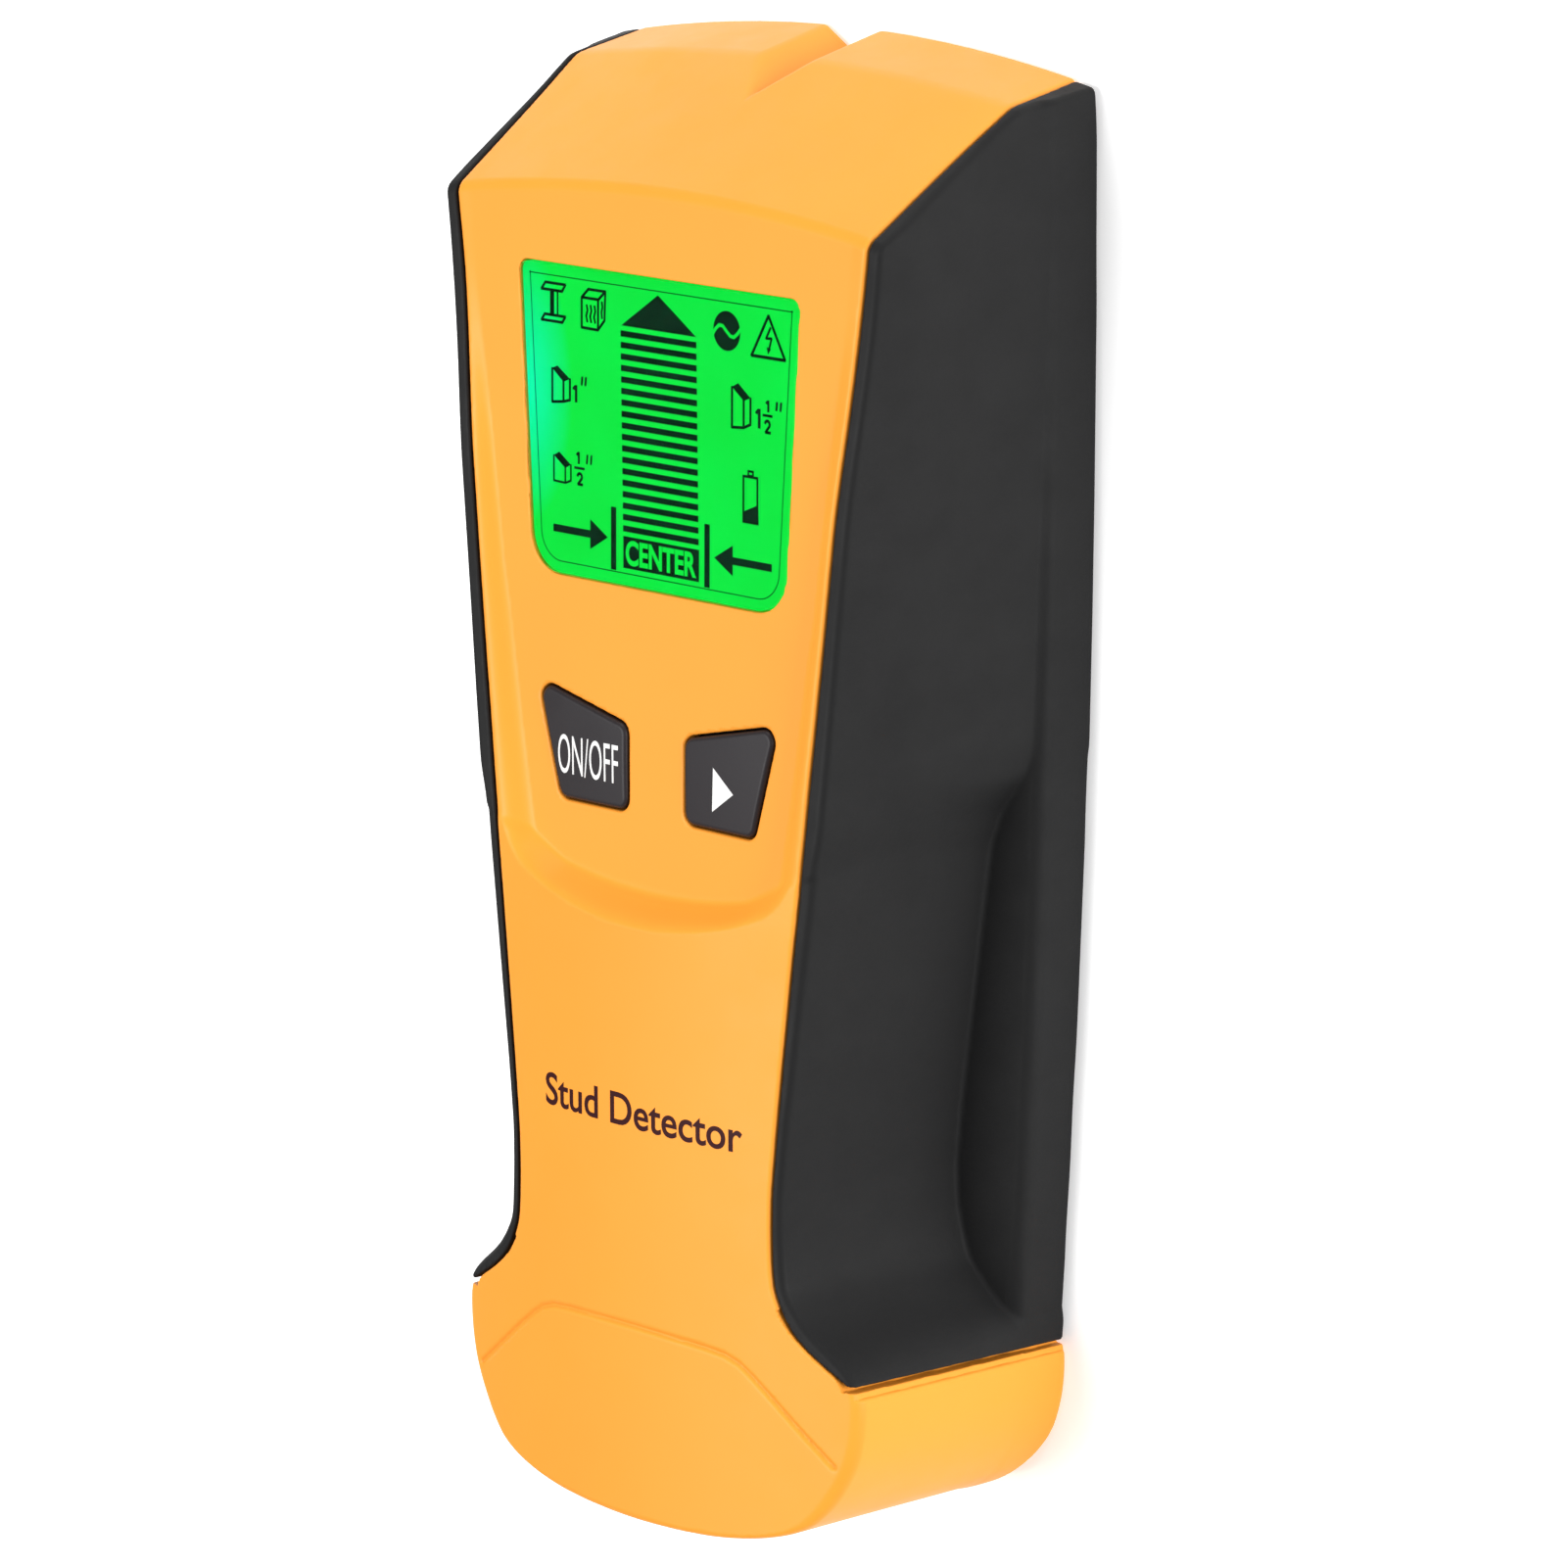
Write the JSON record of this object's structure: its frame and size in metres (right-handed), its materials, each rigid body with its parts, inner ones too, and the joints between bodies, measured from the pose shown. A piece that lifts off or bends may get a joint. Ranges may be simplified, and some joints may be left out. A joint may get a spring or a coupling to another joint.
{
  "type": "stud finder",
  "caption": "Handheld wall scanner with a lit display, two press keys, waisted side grips with finger scoops, a marking notch and a hinged battery door.",
  "frame": {"origin": "centre of the bounding box on the plane of the rear face, which slides along the wall", "axes": "+Z out of the front face, +Y toward the end with the marking notch, +X across the width toward the mode key"},
  "size_m": [0.0824, 0.1788, 0.0374],
  "materials": {
    "cover_orange": "satin moulded",
    "grip_black": "fine textured soft touch",
    "rear_black": "fine textured",
    "key_dark": "satin",
    "window_clear": "clear glossy",
    "lcd_green": "lit",
    "bezel_steel": "brushed",
    "diffuser_white": "diffusing",
    "lamp_white": "clear resin",
    "contact_grey": "matte",
    "board_green": "solder mask",
    "chip_black": "moulded epoxy",
    "can_steel": "drawn can",
    "sleeve_blue": "shrink sleeve",
    "screw_steel": "zinc plated",
    "switch_black": "moulded",
    "plunger_red": "moulded",
    "copper_plate": "bare copper foil",
    "ferrite": "sintered",
    "coil_wire": "enamelled copper wire",
    "connector_ivory": "moulded",
    "battery_case": "satin wrap",
    "nickel": "nickel plated",
    "snap_black": "moulded vinyl",
    "lead_red": "PVC",
    "lead_black": "PVC",
    "foam_grey": "open cell foam",
    "label_silver": "satin foil",
    "print_white": "screen print",
    "print_dark": "screen print"
  },
  "bodies": {
    "housing": {"front_cover": "cover_orange", "grip_right": "grip_black", "grip_left": "grip_black", "rear_cover": "rear_black", "rear_label": "label_silver", "display_window": "window_clear", "lcd_frame": "bezel_steel", "lcd_cell": "lcd_green", "backlight_plate": "diffuser_white", "backlight_led": "lamp_white", "zebra_strip": "contact_grey", "main_pcb": "board_green", "microcontroller": "chip_black", "buzzer": "chip_black", "quartz_crystal": "can_steel", "filter_capacitor": "sleeve_blue", "voltage_regulator": "chip_black", "power_switch": "switch_black", "mode_switch": "switch_black", "sensor_board": "board_green", "sensor_plate_left": "copper_plate", "sensor_plate_centre": "copper_plate", "sensor_plate_right": "copper_plate", "metal_coil_core": "ferrite", "metal_coil": "coil_wire", "live_wire_antenna": "copper_plate", "board_connector": "connector_ivory", "battery_9v": "battery_case", "battery_terminal_positive": "nickel", "battery_terminal_negative": "nickel", "battery_snap": "snap_black", "lead_red": "lead_red", "lead_black": "lead_black", "battery_foam_pad": "foam_grey", "pcb_screw_1": "screw_steel", "housing_screw_1": "screw_steel", "pcb_screw_2": "screw_steel", "housing_screw_2": "screw_steel", "pcb_screw_3": "screw_steel", "housing_screw_3": "screw_steel", "pcb_screw_4": "screw_steel", "housing_screw_4": "screw_steel"},
    "power_button": {"power_key": "key_dark", "power_switch_plunger": "plunger_red"},
    "mode_button": {"mode_key": "key_dark", "mode_switch_plunger": "plunger_red"},
    "door": {"battery_door": "rear_black"}
  },
  "joints": [
    {"name": "power_key_press", "type": "slide", "parent": "housing", "child": "power_button", "axis": [0, 0, -1], "range_m": [0, 0.001], "stiffness_N_per_m": 400},
    {"name": "mode_key_press", "type": "slide", "parent": "housing", "child": "mode_button", "axis": [0, 0, -1], "range_m": [0, 0.001], "stiffness_N_per_m": 400},
    {"name": "battery_door_hinge", "type": "hinge", "parent": "housing", "child": "door", "pos_m": [0, -0.019, 0.0012], "axis": [1, 0, 0], "range_deg": [0, 90]}
  ]
}
